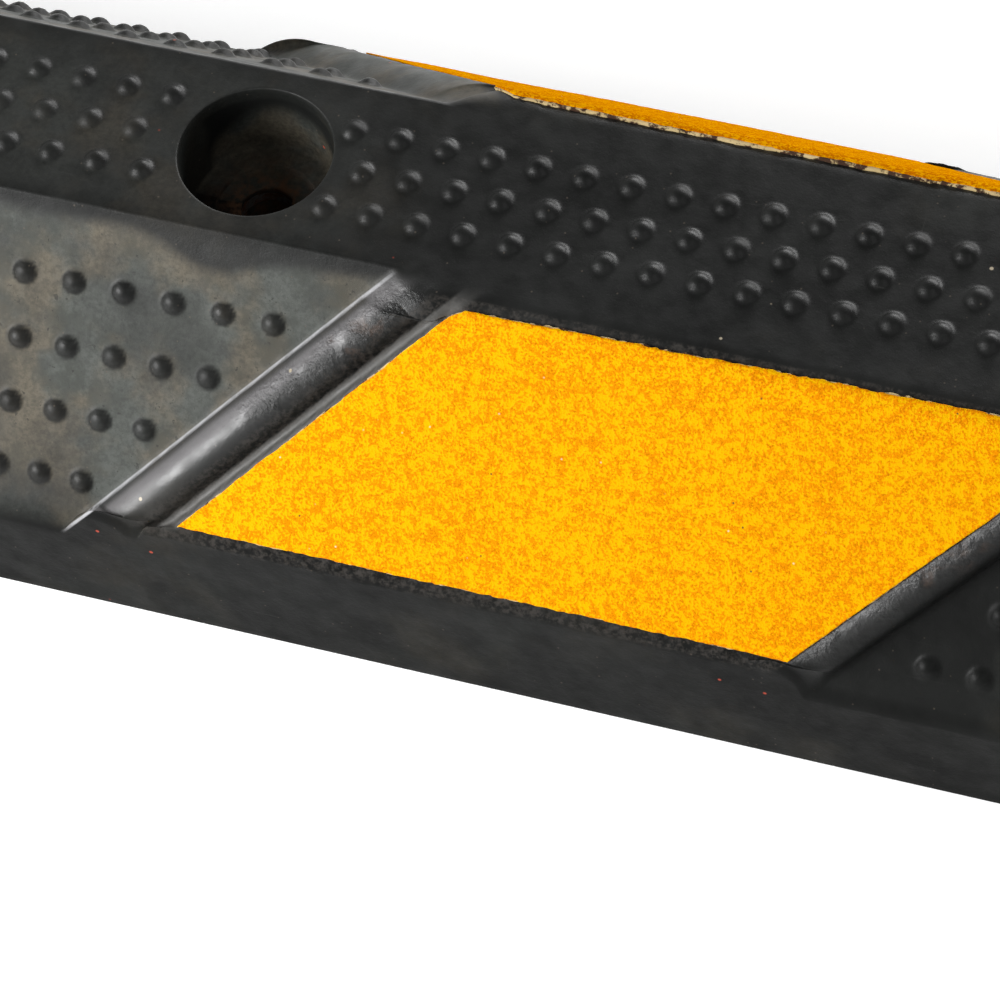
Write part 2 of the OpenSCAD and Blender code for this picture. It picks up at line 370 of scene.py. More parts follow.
def hole_profile():
    """(radius, height) down a bolt hole, from the rounded top edge to the underside."""
    floor = TOP - HEAD_DEPTH
    seat = floor - SEAT_DEPTH
    rows = [(HEAD_R + 0.7, TOP), (HEAD_R + 0.3, TOP - 0.06), (HEAD_R + 0.05, TOP - 0.28),
            (HEAD_R - 0.02, TOP - 0.7)]
    for k in range(1, 16):
        t = k / 16
        rows.append((HEAD_R + (HEAD_FLOOR_R - HEAD_R) * t, TOP - 0.7 - (HEAD_DEPTH - 1.4) * t))
    rows += [(HEAD_FLOOR_R - 0.1, floor + 0.3), (HEAD_FLOOR_R - 0.5, floor + 0.05)]
    rows += [(r, floor) for r in np.linspace(HEAD_FLOOR_R - 1.2, SEAT_R + 0.4, 8)]
    rows += [(SEAT_R, floor - 0.1), (SEAT_R - 0.15, seat + 0.2), (SEAT_R - 0.4, seat)]
    rows += [(r, seat) for r in np.linspace(SEAT_R - 0.9, BOLT_R + 0.9, 7)]
    rows += [(BOLT_R + 0.35, seat - 0.15), (BOLT_R + 0.1, seat - 0.6)]
    rows += [(BOLT_R + 0.1, z) for z in np.linspace(seat - 1.4, 1.0, 40)]
    rows += [(BOLT_R + 0.3, 0.3), (BOLT_R + 0.8, 0.0)]
    return rows


def window_loop(columns, rows):
    """Grid positions (column, row) once round a rectangular window."""
    c0, c1, r0, r1 = columns[0], columns[-1], rows[0], rows[-1]
    return ([(c, r0) for c in columns[:-1]] + [(c1, r) for r in rows[:-1]]
            + [(c, r1) for c in columns[:0:-1]] + [(c0, r) for r in rows[:0:-1]])


def add_bolt_hole(build, grid_ids, grid, columns, top_rows, under_rows, centre_x):
    """Rings from the top's window in to the hole, down it, and out to the underside's window."""
    upper = [grid_ids[c, r] for c, r in window_loop(columns, top_rows)]
    lower = [grid_ids[c, r] for c, r in window_loop(columns, under_rows)]
    flat = grid.reshape(-1, 3)
    edge = flat[upper]
    angle = np.arctan2(edge[:, 1], edge[:, 0] - centre_x)
    circle = np.stack([np.cos(angle), np.sin(angle)], 1)
    last = np.array(upper)
    rows = hole_profile()

    def add_ring(xy, z):
        nonlocal last
        new = build.add(np.column_stack([xy, np.broadcast_to(z, len(xy))]))
        build.strip(last, new)
        last = new

    centre = np.array([centre_x, 0])
    mouth = centre + circle * rows[0][0]
    for k in range(1, 10):
        add_ring(edge[:, :2] + (mouth - edge[:, :2]) * k / 10, TOP)
    for r, z in rows:
        add_ring(centre + circle * r, z)
    exit_ring = centre + circle * rows[-1][0]
    for k in range(1, 6):
        add_ring(exit_ring + (edge[:, :2] - exit_ring) * k / 6, 0)
    build.strip(last, np.array(lower))


def build_body():
    """The whole rubber moulding as one closed mesh of quads."""
    xs = column_positions()
    grid = lateral_grid(xs)
    columns = len(grid)
    first = (columns - len(xs)) // 2
    build = Builder()
    ids = build.add(grid).reshape(columns, RING)
    keep = np.ones((columns - 1, RING), bool)
    top_rows = [RING - INNER + k for k in range(INNER)] + list(range(INNER + 1))
    under_rows = [HALF_COUNT + INNER - k for k in range(2 * INNER + 1)]
    holes = []
    for centre in (-HOLE_X, HOLE_X):
        inside = np.where(np.abs(xs - centre) < WINDOW + 0.01)[0] + first
        span = slice(inside[0], inside[-1])
        keep[span, RING - INNER:] = False
        keep[span, :INNER] = False
        keep[span, HALF_COUNT - INNER:HALF_COUNT + INNER] = False
        holes.append((list(inside), centre))
    nxt = (np.arange(RING) + 1) % RING
    quads = np.stack([ids[:-1], ids[1:], ids[1:][:, nxt], ids[:-1][:, nxt]], -1)
    build.quads.append(quads[keep])
    for inside, centre in holes:
        add_bolt_hole(build, ids, grid, inside, top_rows, under_rows, centre)
    for end in (0, columns - 1):
        add_end_cap(build, ids[end], grid[end], end == 0)
    return build.finish()


def add_end_cap(build, loop, points, flip):
    """Fills an end with a grid whose rows join the front slope to the rear one."""
    half_cols = INNER + OUTER + SHOULDER
    rows = INCLINE + FOOT_ARC + UPRIGHT + 1
    cols = 2 * half_cols + 1
    ids = np.zeros((rows, cols), int)
    front = loop[half_cols:half_cols + rows]
    rear = loop[(RING - half_cols - np.arange(rows)) % RING]
    top = loop[np.arange(half_cols, -half_cols - 1, -1) % RING]
    bottom = loop[half_cols + rows - 1:half_cols + rows - 1 + cols]
    ids[:, 0], ids[:, -1] = front, rear
    ids[0], ids[-1] = top, bottom
    at = {i: p for i, p in zip(loop, points)}
    p_front = np.array([at[i] for i in front])
    p_rear = np.array([at[i] for i in rear])
    p_top = np.array([at[i] for i in top])
    p_bottom = np.array([at[i] for i in bottom])
    v = np.linspace(0, 1, rows)[1:-1, None, None]
    u = np.linspace(0, 1, cols)[None, 1:-1, None]
    corners = (p_top[0] * (1 - u) + p_top[-1] * u) * (1 - v) \
        + (p_bottom[0] * (1 - u) + p_bottom[-1] * u) * v
    inner = (p_front[1:-1, None] * (1 - u) + p_rear[1:-1, None] * u
             + p_top[None, 1:-1] * (1 - v) + p_bottom[None, 1:-1] * v - corners)
    inner[..., 0] = np.sign(points[0, 0]) * end_x(inner[..., 2])
    ids[1:-1, 1:-1] = build.add(inner).reshape(rows - 2, cols - 2)
    build.sheet(ids if flip else ids[:, ::-1])


# ------------------------------------------------------------ surface details
def vertex_normals(points, quads):
    corners = points[quads]
    face = np.cross(corners[:, 2] - corners[:, 0], corners[:, 3] - corners[:, 1])
    normals = np.stack([
        sum(np.bincount(quads[:, k], face[:, axis], len(points)) for k in range(4))
        for axis in range(3)
    ], 1)
    return normals / np.linalg.norm(normals, axis=1, keepdims=True)


def waviness(points):
    """Slow unevenness of the moulding, shared by the rubber and what is laid on it."""
    return (0.5 * (lattice_noise(points, 60, 1) - 0.5)
            + 0.26 * (lattice_noise(points, 19, 2) - 0.5))


def raise_studs(points, places):
    """Shift that lifts each stud's dome out of the surface, and where the studs are."""
    order = np.argsort(points[:, 0])
    xs = points[order, 0]
    shift = np.zeros_like(points)
    mask = np.zeros(len(points))
    draw = np.random.default_rng(11)
    for centre, normal in places:
        centre, normal = np.array(centre), np.array(normal)
        low, high = np.searchsorted(xs, [centre[0] - 5, centre[0] + 5])
        ids = order[low:high]
        offset = points[ids] - centre
        above = offset @ normal
        rho = np.linalg.norm(offset - above[:, None] * normal, axis=1)
        near = (rho < 4.8) & (np.abs(above) < 4)
        ids, rho = ids[near], rho[near]
        height = np.interp(rho, *STUD_TABLE) * draw.uniform(0.92, 1.03)
        shift[ids] += height[:, None] * normal
        mask[ids] = np.maximum(mask[ids], smooth_step(3.5, 2.8, rho))
    return shift, mask


RECESS_LENGTH = (TOP - RECESS_FOOT) / SIN


def down_slope(y_out, z):
    """Distance down the slope from the recess's top corner."""
    return (y_out - RECESS_HALF_TOP) * COS + (TOP - z) * SIN


def streaky(points, along, long, short, seed):
    """Noise whose marks are long in the direction along, and short across it."""
    axis = np.array(along) / np.linalg.norm(along)
    run = points @ axis
    return lattice_noise(points / short + axis * (run * (1 / long - 1 / short))[:, None], 1, seed)


def dress_body(points, quads):
    """The rubber with its studs, unevenness and wear, and the values its material reads."""
    normals = vertex_normals(points, quads)
    x, y, z = points.T
    y_out = np.abs(y)
    front = y < 0
    down = down_slope(y_out, z)
    end_face = smooth_step(0.3, 0.6, np.abs(normals[:, 0]) - np.abs(normals[:, 1]))
    sloping = smooth_step(0, 6, down) * smooth_step(RECESS_LENGTH + 1, RECESS_LENGTH - 4, down)
    sloping = np.where(z > 3, sloping, 0) * (1 - end_face)
    above_recess = (y_out - RECESS_HALF_TOP) * SIN + (z - TOP) * COS
    y_above = y_out + (RECESS - above_recess) * SIN
    inside, from_left = inside_pad(x, y_above)
    on_left = from_left < PAD_L / 2 * RIB_COS
    above_foot = smooth_step(HALF_W - 0.6, HALF_W - 3.0, y_out) * sloping
    crest = np.where(on_left, LEFT_CREST, RIGHT_CREST)
    off_crest = inside - crest + np.where(on_left, 1.5, -1.0)
    rib = np.exp(-(off_crest / 4.2) ** 2) * above_foot * np.where(front, 1, 0.2)
    torn = rib * front * np.where(on_left, smooth_step(50, 36, down), 0.6)
    pad = smooth_step(3, 4.5, inside) * smooth_step(FOOT - 1.5, FOOT + 0.5, z) * (down > 3)
    groove = smooth_step(7.1, 7.7, from_left) * smooth_step(11.5, 9.8, from_left) * above_foot * front
    shaded = np.where(
        on_left,
        smooth_step(1.5, 4.5, from_left) * smooth_step(7.9, 7.3, from_left),
        smooth_step(0.8, -1.0, inside) * smooth_step(-7.5, -6.3, inside),
    ) * above_foot * front
    # Painted sheen: the left rib's outer flank gets a pale neutral grey that stands in for the key
    # light's reflection on it
    flank_sheen = smooth_step(-5.7, -5.1, from_left) * smooth_step(0.5, -2.0, from_left) * above_foot * front
    past_left, past_right = smooth_step(-4.8, -5.6, inside), smooth_step(-5.5, -7.0, inside)
    recess = np.where(on_left, past_left, past_right) * sloping
    # Painted sheen: the rear slope up to the rib crests gets a pale dust colour that stands in for its
    # grazing reflection, mixed with some real dust
    rear_sheen_zone = smooth_step(3.5, 0.5, inside) * sloping * (y > 0)

    shift, stud = raise_studs(points, [*top_stud_places(), *slope_stud_places()])

    small = lattice_noise(points, 4.5, 4)
    patch = lattice_noise(points, 24, 5)
    height = waviness(points) + 0.10 * (small - 0.5)
    nick = smooth_step(0.60, 0.80, lattice_noise(points, 2.3, 6)) * smooth_step(0.45, 0.6, patch)
    height -= 0.45 * nick * torn
    across_rib = (1, 0.62, 0.5)
    streak = streaky(points, across_rib, 5, 1.1, 7)
    height += 0.22 * (streak - 0.5) * pad
    lumps = lattice_noise(points, 1.5, 12) + lattice_noise(points, 3.4, 13) - 1
    height += 0.35 * lumps * pad * (y_out > HALF_W - 8)
    height *= smooth_step(0, 4, z)
    moved = np.clip(points + normals * height[:, None] + shift, BODY_LOW, BODY_HIGH)

    for centre in (-HOLE_X, HOLE_X):
        rho = np.hypot(x - centre, y)
        seat = TOP - HEAD_DEPTH - SEAT_DEPTH
        lip = (rho < BOLT_R + 1.2) * smooth_step(seat - 4, seat - 0.3, z) * (z < seat + 0.1)
        rag = 0.5 + 1.1 * lattice_noise(points, 2.6, 8)
        radial = np.stack([x - centre, y], 1) / np.maximum(rho, 1e-6)[:, None]
        moved[:, :2] -= radial * (lip * rag)[:, None]

    rho = np.hypot(np.abs(x) - HOLE_X, y)
    floor = TOP - HEAD_DEPTH
    rust = (smooth_step(10.5, 7.2, rho) + 0.35 * smooth_step(HEAD_R, 9, rho)) * (z < floor + 1) * (z > 2)
    cloud = 0.55 * lattice_noise(points, 34, 9) + 0.3 * lattice_noise(points, 11, 10) + 0.15 * small
    first_panel = front & (x < slanted_x(-PAD_X - PAD_L / 2, y_above))
    dust_and_sheen = np.where(first_panel, 1.0, 0.0) * recess * (0.30 + 1.1 * smooth_step(0.25, 0.75, cloud))
    wiped = 6.0 * np.exp(-((x + HOLE_X + 2) / 14) ** 2) + 2.5 + 3 * (patch - 0.5)
    dust_and_sheen *= smooth_step(-1, 4.5, down - wiped)
    # Painted sheen on the rear slope, carried in the same values as the real dust
    dust_and_sheen = np.maximum(dust_and_sheen, rear_sheen_zone * (0.5 + 0.3 * cloud))
    dust_and_sheen = np.maximum(dust_and_sheen, end_face * (z > 2) * 0.35 * cloud)
    first_half = smooth_step(55 - HOLE_X, -25 - HOLE_X, x) * smooth_step(2, -4, down)
    dust_and_sheen = np.maximum(dust_and_sheen, 0.13 * first_half * (y_out < HALF_TOP + 2) * (z > TOP - 4))
    dust_and_sheen = dust_and_sheen * (1 - 0.9 * stud)
    dull_panel = 0.6 * recess * front * ~first_panel
    matt = np.maximum(0.82 * smooth_step(HALF_W - 5, HALF_W - 1.5, y_out), dull_panel)
    matt = np.maximum(matt, 0.3 * np.exp(-(down / 2.5) ** 2) * front * smooth_step(-3, -6, inside))
    matt = np.maximum(matt, 0.5 * stud * rear_sheen_zone)
    matt = np.maximum(matt, 0.85 * shaded)
    return moved, {
        "dust_and_sheen": np.clip(dust_and_sheen + 0.10 * smooth_step(0.5, 0.8, cloud), 0, 1),
        "stud": stud,
        "rib": rib,
        "pad": pad,
        "groove": groove,
        "rust": np.clip(rust, 0, 1),
        "nick": np.clip(nick * torn, 0, 1),
        "torn": torn,
        "flank_sheen": flank_sheen,
        "from_left": np.clip(from_left, -20, 20),
        # Where the painted fillet highlight may show on the front slope
        "lit_slope": sloping * front * smooth_step(0.5, 2, down),
        "bore": (rho < HEAD_R + 0.2) * smooth_step(TOP - 0.4, TOP - 2, z),
        "matt": matt,
    }


def make_piece(name, points, quads, values, material):
    """A Blender object from millimetre points, with one float attribute for each named value."""
    mesh = bpy.data.meshes.new(name)
    mesh.vertices.add(len(points))
    mesh.vertices.foreach_set("co", (points * MM).ravel())
    mesh.loops.add(quads.size)
    mesh.loops.foreach_set("vertex_index", quads.ravel().astype(np.int32))
    mesh.polygons.add(len(quads))
    mesh.polygons.foreach_set("loop_start", np.arange(len(quads), dtype=np.int32) * 4)
    mesh.update(calc_edges=True)
    mesh.polygons.foreach_set("use_smooth", np.ones(len(quads), bool))
    for key, value in values.items():
        layer = mesh.attributes.new(key, "FLOAT", "POINT")
        layer.data.foreach_set("value", value.astype(np.float32))
    mesh.materials.append(material)
    piece = bpy.data.objects.new(name, mesh)
    bpy.context.scene.collection.objects.link(piece)
    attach(piece, "root")
    return piece


# --------------------------------------------------- reflective film and backing
SHOULDER_T = SHOULDER_R * math.tan(SLOPE / 2)


def pad_surface(s):
    """(distance from the centre line, height, outward normal) at s down the raised slope.

    s is 0 at the sharp corner of the top and the slope, which the shoulder rounds off.
    """
    start = SHOULDER_T - SHOULDER_R * SLOPE
    turn = np.clip((s - start) / SHOULDER_R, 0, SLOPE)
    beyond = np.maximum(s - SHOULDER_T, 0)
    before = np.minimum(s - start, 0)
    y = HALF_TOP - SHOULDER_T + SHOULDER_R * np.sin(turn) + beyond * COS + before
    z = TOP - SHOULDER_R + SHOULDER_R * np.cos(turn) - beyond * SIN
    return y, z, np.sin(turn), np.cos(turn)


def sheet_solid(side, mid_x, shift, top_tilt, lean, low, high, grow, step, seed, texture):
    """A thin closed solid between two heights over a pad, with hand-cut ragged edges."""
    s_low, s_high = 1.5 if side < 0 else 0.4, FILM_BOTTOM + 0.3
    rows = int((s_high - s_low) / step)
    cols = int(FILM_L / step)
    a, b = np.meshgrid(np.linspace(0, 1, cols), np.linspace(0, 1, rows))
    line = np.stack([a * FILM_L, b * 70, np.full_like(a, 10.0 * seed)], 2).reshape(-1, 3)
    rag = lattice_noise(line, 1.3, seed) + lattice_noise(line, 6, seed + 1)
    rag = (rag.reshape(a.shape) - 1) * 0.45
    top = s_low - top_tilt * a - grow
    s = top + (s_high + grow - top) * b
    s += rag * np.maximum(np.exp(-b * rows / 3), np.exp(-(1 - b) * rows / 3))
    y, z, ny, nz = pad_surface(s)
    mid_line = slanted_x(mid_x, y) + shift
    clip = 1.6 * np.exp(-((s - top) / 1.2) ** 2)
    left = mid_line - FILM_L / 2 - grow + clip + lean * b
    right = mid_line + FILM_L / 2 + grow
    x = left + (right - left) * a
    x += rag * np.maximum(np.exp(-a * cols / 3), np.exp(-(1 - a) * cols / 3))
    base = np.stack([x, side * y, z], 2).reshape(-1, 3)
    normal = np.stack([0 * x, side * ny, nz], 2).reshape(-1, 3)
    lift = waviness(base)
    upper = base + normal * (lift + high + texture(base))[:, None]
    lower = base + normal * (lift + low)[:, None]
    build = Builder()
    up = build.add(upper).reshape(rows, cols)
    down = build.add(lower).reshape(rows, cols)
    turn = slice(None) if side < 0 else slice(None, None, -1)
    up, down = up[:, turn], down[:, turn]
    build.sheet(up)
    build.sheet(down[:, ::-1])
    edge = window_loop(range(rows), range(cols))
    build.strip(np.array([down[c] for c in edge]), np.array([up[c] for c in edge]))
    points, quads = build.finish()
    return points, quads


def film_texture(base):
    """Embossed grain of the beaded film's face."""
    grain = lattice_noise(base, 1.1, 21)
    return 0.10 * (grain - 0.5) + 0.12 * (lattice_noise(base, 7, 22) - 0.5)


def no_texture(base):
    return np.zeros(len(base))


# ------------------------------------------------------------------ materials
class Shade:
    """Builds one procedural material. Sizes are millimetres in the object's own frame."""

    def __init__(self, name):
        self.material = bpy.data.materials.new(name)
        self.material.use_nodes = True
        self.tree = self.material.node_tree
        self.shader = self.tree.nodes["Principled BSDF"]
        self.place = self.add("ShaderNodeTexCoord").outputs["Object"]

    def add(self, kind, **settings):
        node = self.tree.nodes.new(kind)
        for key, value in settings.items():
            setattr(node, key, value)
        return node

    def put(self, socket, value):
        """Links an output to the socket, or sets the socket to a plain value."""
        if isinstance(value, bpy.types.NodeSocket):
            self.tree.links.new(value, socket)
        else:
            socket.default_value = value

    def noise(self, size, detail=3.0, roughness=0.55, place=None):
        node = self.add("ShaderNodeTexNoise")
        self.put(node.inputs["Vector"], place or self.place)
        node.inputs["Scale"].default_value = 1000 / size
        node.inputs["Detail"].default_value = detail
        node.inputs["Roughness"].default_value = roughness
        return node.outputs[0]

    def cells(self, size, place=None):
        """(distance from the nearest random point in cell sizes, random colour of that cell)."""
        node = self.add("ShaderNodeTexVoronoi")
        self.put(node.inputs["Vector"], place or self.place)
        node.inputs["Scale"].default_value = 1000 / size
        return node.outputs["Distance"], node.outputs["Color"]

    def stretched(self, scale, turn=(0, 0, 0)):
        node = self.add("ShaderNodeMapping")
        self.put(node.inputs["Vector"], self.place)
        node.inputs["Scale"].default_value = scale
        node.inputs["Rotation"].default_value = turn
        return node.outputs[0]

    def value(self, name):
        return self.add("ShaderNodeAttribute", attribute_name=name).outputs["Fac"]

    def calc(self, operation, a, b=0.0, clamp=False):
        node = self.add("ShaderNodeMath", operation=operation, use_clamp=clamp)
        self.put(node.inputs[0], a)
        self.put(node.inputs[1], b)
        return node.outputs[0]

    def remap(self, value, low, high, to_low=0.0, to_high=1.0):
        node = self.add("ShaderNodeMapRange", interpolation_type="SMOOTHSTEP")
        self.put(node.inputs["Value"], value)
        for socket, number in zip(node.inputs[1:5], (low, high, to_low, to_high)):
            socket.default_value = number
        return node.outputs[0]

    def blend(self, share, a, b):
        node = self.add("ShaderNodeMix", data_type="RGBA")
        self.put(node.inputs[0], share)
        for socket, colour in ((node.inputs[6], a), (node.inputs[7], b)):
            self.put(socket, colour if isinstance(colour, bpy.types.NodeSocket) else (*colour, 1))
        return node.outputs[2]

    def split(self, colour):
        return self.add_linked("ShaderNodeSeparateColor", colour)

    def add_linked(self, kind, source):
        node = self.add(kind)
        self.put(node.inputs[0], source)
        return node.outputs

    def bump(self, height, depth, normal=None):
        node = self.add("ShaderNodeBump")
        self.put(node.inputs["Height"], height)
        node.inputs["Strength"].default_value = 1.0
        node.inputs["Distance"].default_value = depth * MM
        if normal:
            self.put(node.inputs["Normal"], normal)
        return node.outputs[0]

    def finish(self, colour, roughness, normal, specular=0.5):
        self.put(self.shader.inputs["Base Color"], colour)
        self.put(self.shader.inputs["Roughness"], roughness)
        self.put(self.shader.inputs["Normal"], normal)
        self.put(self.shader.inputs["Specular IOR Level"], specular)
        return self.material


def rubber_material():
    m = Shade("rubber")
    dust_and_sheen, stud, rib = m.value("dust_and_sheen"), m.value("stud"), m.value("rib")
    pad, groove, rust, nick = m.value("pad"), m.value("groove"), m.value("rust"), m.value("nick")
    from_left, lit_slope = m.value("from_left"), m.value("lit_slope")
    matt, bore, torn, flank_sheen = m.value("matt"), m.value("bore"), m.value("torn"), m.value("flank_sheen")
    broad, grit = m.noise(22), m.noise(1.4, detail=5, roughness=0.7)
    colour = m.blend(m.remap(broad, 0.3, 0.7), (0.006, 0.0063, 0.0060), (0.010, 0.0105, 0.0100))
    dust_and_sheen_share = m.calc("MULTIPLY", dust_and_sheen, m.remap(grit, 0.3, 0.7, 0.6, 1.15), clamp=True)
    dust_and_sheen_tone = m.remap(m.noise(17, detail=3), 0.4, 0.6)
    dust_and_sheen_colour = m.blend(dust_and_sheen_tone, (0.100, 0.088, 0.066), (0.068, 0.073, 0.066))
    # Real dust on the first panel, and on the rear slope a painted sheen for its grazing reflection
    colour = m.blend(dust_and_sheen_share, colour, dust_and_sheen_colour)
    # Painted sheen: pale neutral grey on the left rib's outer flank in place of its reflection
    colour = m.blend(m.calc("MULTIPLY", flank_sheen, 0.9), colour, (0.118, 0.114, 0.116))
    blotch = m.calc("MULTIPLY", dust_and_sheen_share, m.remap(m.noise(11, detail=6, roughness=0.68), 0.46, 0.62))
    colour = m.blend(m.calc("MULTIPLY", blotch, 0.6), colour, (0.030, 0.032, 0.027))
    pits = m.calc("MULTIPLY", dust_and_sheen_share, m.remap(m.noise(1.6, detail=2), 0.66, 0.72))
    colour = m.blend(m.calc("MULTIPLY", pits, 0.7), colour, (0.020, 0.020, 0.018))
    scuffed = m.calc("MULTIPLY", pad, m.remap(grit, 0.4, 0.65), clamp=True)
    colour = m.blend(scuffed, colour, (0.034, 0.031, 0.028))
    groove_colour = m.blend(grit, (0.060, 0.058, 0.054), (0.125, 0.123, 0.118))
    colour = m.blend(m.calc("MULTIPLY", groove, 0.85), colour, groove_colour)
    # Pale flecks of grit all over
    distance, random = m.cells(2.4)
    red, _, _ = m.split(random)
    fleck = m.calc("MULTIPLY", m.remap(red, 0.78, 0.80), m.remap(distance, 0.14, 0.05))
    colour = m.blend(m.calc("MULTIPLY", fleck, 0.5), colour, (0.085, 0.070, 0.055))
    ragged = m.calc("MULTIPLY", nick, m.remap(grit, 0.35, 0.6), clamp=True)
    colour = m.blend(ragged, colour, (0.050, 0.030, 0.020))
    rusty = m.calc("MULTIPLY", rust, m.remap(m.noise(2.5, detail=4), 0.35, 0.65), clamp=True)
    colour = m.blend(rusty, colour, (0.110, 0.060, 0.035))
    # Sparse specks of red, orange and white grit
    distance, random = m.cells(11)
    red, green, _ = m.split(random)
    chosen = m.remap(red, 0.62, 0.64)
    speck = m.calc("MULTIPLY", chosen, m.remap(distance, 0.055, 0.03))
    speck_colour = m.blend(m.remap(green, 0.3, 0.6), (0.30, 0.05, 0.03), (0.35, 0.30, 0.22))
    colour = m.blend(speck, colour, speck_colour)
    # Faint scratches that run in two directions
    fine_lines = m.noise(1.0, detail=1, place=m.stretched((0.03, 0.9, 0.9), (0.2, 0.5, 0.3)))
    other_lines = m.noise(1.0, detail=1, place=m.stretched((0.9, 0.04, 0.04), (0.9, 0.1, 0.7)))
    scratched = m.calc("MAXIMUM", m.remap(fine_lines, 0.70, 0.80), m.remap(other_lines, 0.74, 0.84))
    scratched = m.calc("MULTIPLY", scratched, m.remap(m.noise(30), 0.5, 0.65))
    colour = m.blend(m.calc("MULTIPLY", scratched, 0.16), colour, (0.09, 0.09, 0.085))
    # Painted highlight: a pale line along the fillet where a left rib's flank meets the studded panel,
    # standing in for the key light's glint there
    off_line = m.calc("ABSOLUTE", m.calc("ADD", from_left, FILLET_OUT))
    painted_fillet_glint = m.calc("MULTIPLY", m.remap(off_line, 0.60, 0.15), m.remap(m.noise(4), 0.3, 0.5, 0.6, 1.0))
    painted_fillet_glint = m.calc("MULTIPLY", painted_fillet_glint, lit_slope)
    colour = m.blend(painted_fillet_glint, colour, (0.32, 0.32, 0.33))
    roughness = m.remap(m.noise(6, detail=4), 0.3, 0.7, 0.40, 0.56)
    roughness = m.calc("ADD", roughness, m.calc("MULTIPLY", dust_and_sheen_share, 0.22))
    roughness = m.calc("SUBTRACT", roughness, m.calc("MULTIPLY", rib, 0.06))
    roughness = m.calc("SUBTRACT", roughness, m.calc("MULTIPLY", stud, 0.04), clamp=True)
    normal = m.bump(m.noise(0.55, detail=3), 0.035)
    normal = m.bump(m.noise(3.5, detail=4), 0.12, normal)
    torn_rib = m.calc("MULTIPLY", torn, m.remap(m.noise(9), 0.35, 0.55, 0.25, 1.0))
    normal = m.bump(m.calc("MULTIPLY", torn_rib, m.noise(1.5, detail=4, roughness=0.65)), 1.0, normal)
    specular = m.calc("ADD", 0.21, m.calc("MULTIPLY", rib, 0.42))
    specular = m.calc("SUBTRACT", specular, m.calc("MULTIPLY", matt, 0.20))
    specular = m.calc("SUBTRACT", specular, m.calc("MULTIPLY", bore, 0.20), clamp=True)
    return m.finish(colour, roughness, normal, specular)


def film_material(name, base, blot, specular):
    m = Shade(name)
    grain = m.noise(0.62, detail=2, roughness=0.6)
    cluster = m.noise(2.1, detail=2, roughness=0.6)
    broad = m.noise(25)
    mottled = m.calc("ADD", grain, m.calc("MULTIPLY", m.calc("SUBTRACT", cluster, 0.5), 0.7))
    mottled = m.calc("ADD", mottled, m.calc("MULTIPLY", m.calc("SUBTRACT", broad, 0.5), 0.15))
    colour = m.blend(m.remap(mottled, 0.43, 0.57), base, blot)
    deep = m.calc("MULTIPLY", m.remap(mottled, 0.54, 0.66), m.remap(m.noise(0.45, detail=1), 0.50, 0.58))
    colour = m.blend(deep, colour, tuple(0.74 * c for c in blot))
    distance, random = m.cells(3.2)
    red, green, _ = m.split(random)
    speck = m.calc("MULTIPLY", m.remap(red, 0.86, 0.88), m.remap(distance, 0.10, 0.05))
    speck_colour = m.blend(m.remap(green, 0.70, 0.72), (0.75, 0.55, 0.36), (0.16, 0.07, 0.02))
    colour = m.blend(speck, colour, speck_colour)
    roughness = m.remap(mottled, 0.4, 0.65, 0.42, 0.62)
    normal = m.bump(mottled, 0.22)
    return m.finish(colour, roughness, normal, specular)


def backing_material():
    m = Shade("film_backing")
    stain = m.noise(3.0, detail=5, roughness=0.7)
    colour = m.blend(m.noise(9), (0.42, 0.30, 0.13), (0.56, 0.45, 0.25))
    colour = m.blend(m.remap(stain, 0.47, 0.56), colour, (0.05, 0.025, 0.015))
    return m.finish(colour, 0.8, m.bump(m.noise(0.8), 0.06), specular=0.1)


def steel_material():
    m = Shade("rusty_steel")
    rust = m.remap(m.noise(3.0, detail=5, roughness=0.65), 0.40, 0.60)
    colour = m.blend(rust, (0.20, 0.19, 0.18), (0.13, 0.05, 0.02))
    m.shader.inputs["Metallic"].default_value = 0.6
    roughness = m.remap(rust, 0, 1, 0.45, 0.85)
    return m.finish(colour, roughness, m.bump(m.noise(0.9, detail=4), 0.08))


def floor_material():
    m = Shade("floor")
    m.shader.inputs["Emission Color"].default_value = (1, 1, 1, 1)
    m.shader.inputs["Emission Strength"].default_value = 0.3
    return m.finish((0.9, 0.9, 0.9, 1), 0.9, m.bump(m.noise(2), 0.01))


# ------------------------------------------------------------ making the pieces
points, quads = build_body()
points, values = dress_body(points, quads)
body = make_piece("rubber_moulding", points, quads, values, rubber_material())
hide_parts("rubber_body")

cream = backing_material()
yellow = film_material("reflective_film", (0.72, 0.370, 0.0), (0.68, 0.225, 0.0), 0.02)
orange = film_material("reflective_film_rear", (0.62, 0.27, 0.0), (0.46, 0.13, 0.0), 0.0)
seed = 40
SLOPES = ((-1, FILM_SHIFT, "front", yellow), (1, -FILM_SHIFT, "rear", orange))
for side, shift, side_name, finish in SLOPES:
    for mid, end_name in ((-PAD_X, "left"), (PAD_X, "right")):
        place = f"{side_name}_{end_name}"
        step = 0.5 if place == "front_left" else 0.9
        tilt, lean = (1.6, 0.0) if side < 0 else (0.8, 8.0)
        for kind, low, high, grow, material, texture in (
            ("film_backing", -0.4, BACKING_T, 0.12 if side < 0 else 0.35, cream, no_texture),
            ("reflective_film", BACKING_T - 0.1, BACKING_T + FILM_T, 0.0, finish, film_texture),
        ):
            seed += 2
            points, quads = sheet_solid(
                side, mid, shift, tilt, lean, low, high, grow, step, seed, texture
            )
            piece = make_piece(f"{kind}_{place}_sheet", points, quads, {}, material)
            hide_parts(f"{kind}_{place}")

steel = steel_material()
for end_name in ("left", "right"):
    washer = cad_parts[f"washer_{end_name}"]
    washer.data.materials.clear()
    washer.data.materials.append(steel)


